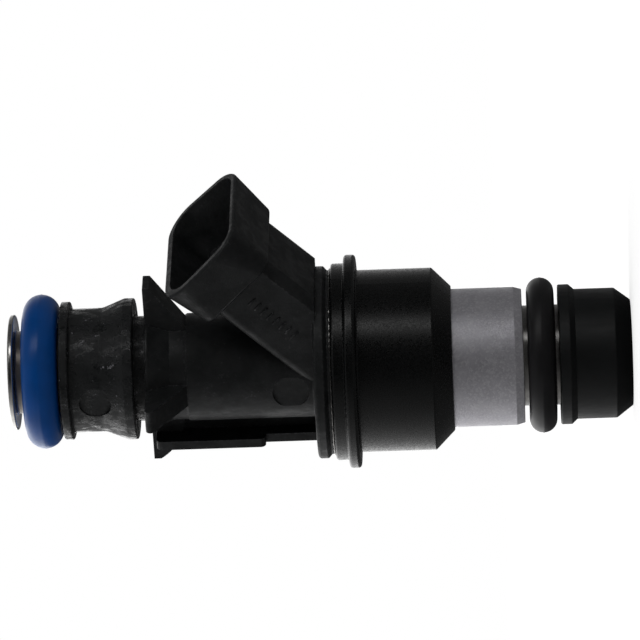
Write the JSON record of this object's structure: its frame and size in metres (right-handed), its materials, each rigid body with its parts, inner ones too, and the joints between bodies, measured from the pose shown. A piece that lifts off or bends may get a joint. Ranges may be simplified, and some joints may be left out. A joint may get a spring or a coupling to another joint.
{
  "type": "fuel injector",
  "caption": "Top-feed port fuel injector with a sprung needle valve, solenoid coil, O-ring sealed ends, clip groove and an angled two-blade connector.",
  "frame": {"origin": "centre of the end face of the spray tip, on the injector's axis", "axes": "+Z along the axis from the spray tip to the fuel inlet; +X towards the electrical connector; Y across the connector's width"},
  "size_m": [0.0287, 0.0206, 0.0597],
  "materials": {
    "body_plastic": "matte charcoal black, glass-filled grain",
    "cap_plastic": "smooth satin black",
    "coated_steel": "black coated steel, fine sparkle",
    "grey_sleeve": "mid grey phosphate grain, satin",
    "blue_rubber": "satin blue with a fine parting line",
    "black_rubber": "satin black with a fine parting line",
    "stainless": "drawn stainless steel",
    "neck_steel": "turned steel",
    "magnet_steel": "ground soft-magnetic steel",
    "seat_steel": "ground hardened steel",
    "ball_steel": "lapped hardened ball",
    "spring_steel": "drawn spring wire",
    "tinned_brass": "tin-plated brass",
    "brass": "drawn brass",
    "copper_wire": "enamelled copper wire",
    "bobbin_nylon": "moulded nylon",
    "filter_nylon": "natural nylon",
    "filter_mesh": "woven nylon mesh"
  },
  "bodies": {
    "injector": {"overmold_body": "body_plastic", "inlet_tube": "stainless", "upper_o_ring": "blue_rubber", "filter_ring": "brass", "filter_basket": "filter_nylon", "filter_screen": "filter_mesh", "adjusting_tube": "stainless", "return_spring": "spring_steel", "pole_piece": "magnet_steel", "nonmagnetic_shell": "stainless", "flux_plate": "magnet_steel", "coil_bobbin": "bobbin_nylon", "coil_winding": "copper_wire", "terminal_left": "tinned_brass", "terminal_right": "tinned_brass", "coil_housing": "coated_steel", "lower_sleeve": "grey_sleeve", "lower_o_ring": "black_rubber", "valve_body": "neck_steel", "ball_guide": "magnet_steel", "valve_seat": "seat_steel", "director_plate": "stainless", "tip_cap": "cap_plastic"},
    "valve": {"armature": "magnet_steel", "valve_tube": "stainless", "valve_ball": "ball_steel"}
  },
  "joints": [
    {"name": "needle_lift", "type": "slide", "parent": "injector", "child": "valve", "axis": [0, 0, 1], "range_m": [0, 0.00008], "stiffness_N_per_m": 1000, "springref_m": -0.003, "deforming": ["return_spring"]}
  ]
}
